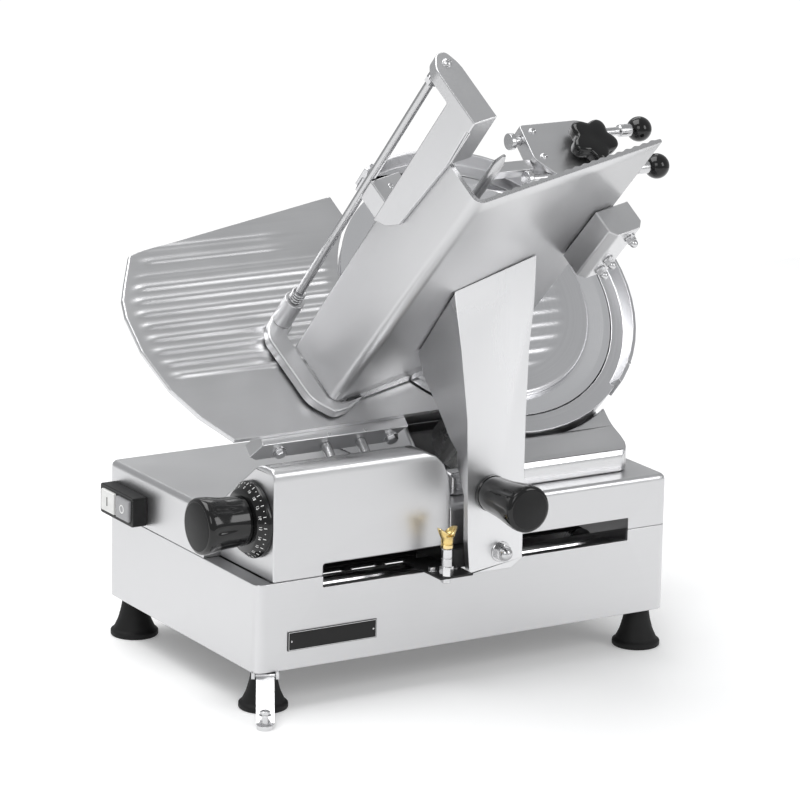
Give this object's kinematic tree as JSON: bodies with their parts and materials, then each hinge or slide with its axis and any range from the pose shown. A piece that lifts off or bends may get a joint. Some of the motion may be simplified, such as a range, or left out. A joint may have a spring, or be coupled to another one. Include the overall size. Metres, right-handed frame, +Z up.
{
  "type": "deli meat slicer",
  "caption": "Semi-automatic deli meat slicer: round blade in a ring guard, sliding food tray on an arm, thickness dial with gauge plate, and a top sharpener, on a casing with rubber feet.",
  "frame": {"origin": "middle of the bounding box, on the plane the feet stand on", "axes": "+X to the right along the long side of the casing, +Y to the back, +Z up"},
  "size_m": [0.7542, 0.5522, 0.7284],
  "materials": {
    "satin_casting": "satin, fine brushed",
    "sheet_aluminium": "satin, brushed",
    "stainless_bright": "polished",
    "blade_steel": "ground and polished",
    "black_steel": "semi-gloss black",
    "motor_paint": "matt grey",
    "black_phenolic": "moulded gloss",
    "foot_rubber": "matt",
    "belt_rubber": "matt",
    "brass": "polished",
    "switch_plastic": "fine texture",
    "button_white": "smooth",
    "button_grey": "smooth translucent look",
    "plate_black": "satin black"
  },
  "bodies": {
    "base": {"base_pan": "satin_casting", "bottom_plate": "black_steel", "top_cover": "satin_casting", "drum_housing": "satin_casting", "blade_pedestal": "satin_casting", "ring_guard": "satin_casting", "foot_front_left": "foot_rubber", "foot_front_right": "foot_rubber", "foot_back_left": "foot_rubber", "foot_back_right": "foot_rubber", "name_plate": "plate_black", "switch_box": "switch_plastic", "power_inlet": "switch_plastic", "blade_bearing": "stainless_bright", "blade_motor": "motor_paint", "carriage_motor": "motor_paint", "carriage_rail": "stainless_bright", "gauge_rail": "stainless_bright", "blade_belt": "belt_rubber", "carriage_belt": "belt_rubber", "sharpener_bar": "sheet_aluminium", "sharpener_block": "satin_casting", "blade_cover": "sheet_aluminium"},
    "start_button": {"start_button": "button_white"},
    "stop_button": {"stop_button": "button_grey"},
    "dial": {"dial_knob": "black_phenolic", "dial_collar": "black_phenolic", "dial_shaft": "stainless_bright"},
    "gauge": {"gauge_plate": "sheet_aluminium", "gauge_bracket": "satin_casting", "gauge_post_left": "stainless_bright", "gauge_post_right": "stainless_bright", "gauge_slide_block": "black_steel"},
    "blade": {"blade": "blade_steel", "blade_hub": "stainless_bright", "blade_pulley": "satin_casting"},
    "motor_pulley": {"motor_pulley": "satin_casting"},
    "carriage_pulley": {"carriage_pulley": "satin_casting"},
    "idler_pulley": {"idler_pulley": "satin_casting"},
    "carriage": {"carriage_block": "black_steel", "carriage_arm": "satin_casting", "arm_nut": "stainless_bright", "plunger_plate": "black_steel", "plunger_sleeve": "stainless_bright", "tray": "sheet_aluminium", "tray_bracket": "satin_casting", "end_guard": "satin_casting", "rod_arm": "satin_casting", "slide_rod": "stainless_bright", "rod_socket": "stainless_bright", "buffer_spring": "stainless_bright", "guide_rod": "stainless_bright", "rod_block": "satin_casting"},
    "lock_knob": {"lock_knob": "black_phenolic"},
    "plunger": {"plunger": "brass"},
    "pusher": {"pusher": "satin_casting"},
    "star_knob": {"star_knob": "black_phenolic"},
    "sharpener_lever_upper": {"sharpener_lever_upper": "black_phenolic"},
    "sharpener_lever_lower": {"sharpener_lever_lower": "black_phenolic"},
    "prop_leg": {"prop_leg": "stainless_bright"}
  },
  "joints": [
    {"name": "blade_spin", "type": "hinge", "parent": "base", "child": "blade", "pos_m": [0.06945, 0.12329, 0.3804], "axis": [0, -0.689, 0.7248], "continuous": true},
    {"name": "motor_pulley_spin", "type": "hinge", "parent": "base", "child": "motor_pulley", "pos_m": [0.06945, 0.08215, 0.26402], "axis": [0, -0.689, 0.7248], "continuous": true},
    {"name": "carriage_slide", "type": "slide", "parent": "base", "child": "carriage", "axis": [1, 0, 0], "range_m": [-0.12, 0.15]},
    {"name": "carriage_pulley_spin", "type": "hinge", "parent": "base", "child": "carriage_pulley", "pos_m": [-0.26705, 0.01399, 0.107], "axis": [0, 1, 0], "range_deg": [-470, 585]},
    {"name": "idler_pulley_spin", "type": "hinge", "parent": "base", "child": "idler_pulley", "pos_m": [0.14295, 0.01399, 0.107], "axis": [0, 1, 0], "range_deg": [-470, 585]},
    {"name": "thickness_dial", "type": "hinge", "parent": "base", "child": "dial", "pos_m": [-0.32705, -0.03701, 0.205], "axis": [-1, 0, 0], "range_deg": [0, 330]},
    {"name": "gauge_slide", "type": "slide", "parent": "base", "child": "gauge", "axis": [0, 0.689, -0.7248], "range_m": [0, 0.015]},
    {"name": "start_press", "type": "slide", "parent": "base", "child": "start_button", "axis": [1, 0, 0], "range_m": [0, 0.003], "stiffness_N_per_m": 800, "springref_m": -0.002},
    {"name": "stop_press", "type": "slide", "parent": "base", "child": "stop_button", "axis": [1, 0, 0], "range_m": [0, 0.003], "stiffness_N_per_m": 800, "springref_m": -0.002},
    {"name": "lock_knob_turn", "type": "hinge", "parent": "carriage", "child": "lock_knob", "pos_m": [-0.05105, -0.14401, 0.218], "axis": [0, -1, 0], "range_deg": [0, 270]},
    {"name": "plunger_pull", "type": "slide", "parent": "carriage", "child": "plunger", "axis": [0, 0, 1], "range_m": [0, 0.008], "stiffness_N_per_m": 300, "springref_m": -0.006},
    {"name": "pusher_slide", "type": "slide", "parent": "carriage", "child": "pusher", "axis": [0.0074, -0.7135, 0.7006], "range_m": [0, 0.32]},
    {"name": "star_knob_turn", "type": "hinge", "parent": "base", "child": "star_knob", "pos_m": [0.27145, 0.20046, 0.52274], "axis": [0, -0.689, 0.7248], "range_deg": [-180, 180]},
    {"name": "lever_upper_push", "type": "slide", "parent": "base", "child": "sharpener_lever_upper", "axis": [-1, 0, 0], "range_m": [0, 0.006], "stiffness_N_per_m": 600, "springref_m": -0.004},
    {"name": "lever_lower_push", "type": "slide", "parent": "base", "child": "sharpener_lever_lower", "axis": [-1, 0, 0], "range_m": [0, 0.006], "stiffness_N_per_m": 600, "springref_m": -0.004},
    {"name": "prop_leg_fold", "type": "hinge", "parent": "base", "child": "prop_leg", "pos_m": [-0.31305, -0.07601, 0.041], "axis": [-0.875, 0.4841, 0], "range_deg": [0, 50]}
  ],
  "couplings": [
    {"joint": "motor_pulley_spin", "follows": "blade_spin", "ratio": 2.25},
    {"joint": "carriage_pulley_spin", "follows": "carriage_slide", "rad_per_m": 66.225},
    {"joint": "idler_pulley_spin", "follows": "carriage_slide", "rad_per_m": 66.225},
    {"joint": "thickness_dial", "follows": "gauge_slide", "rad_per_m": 383.97}
  ]
}
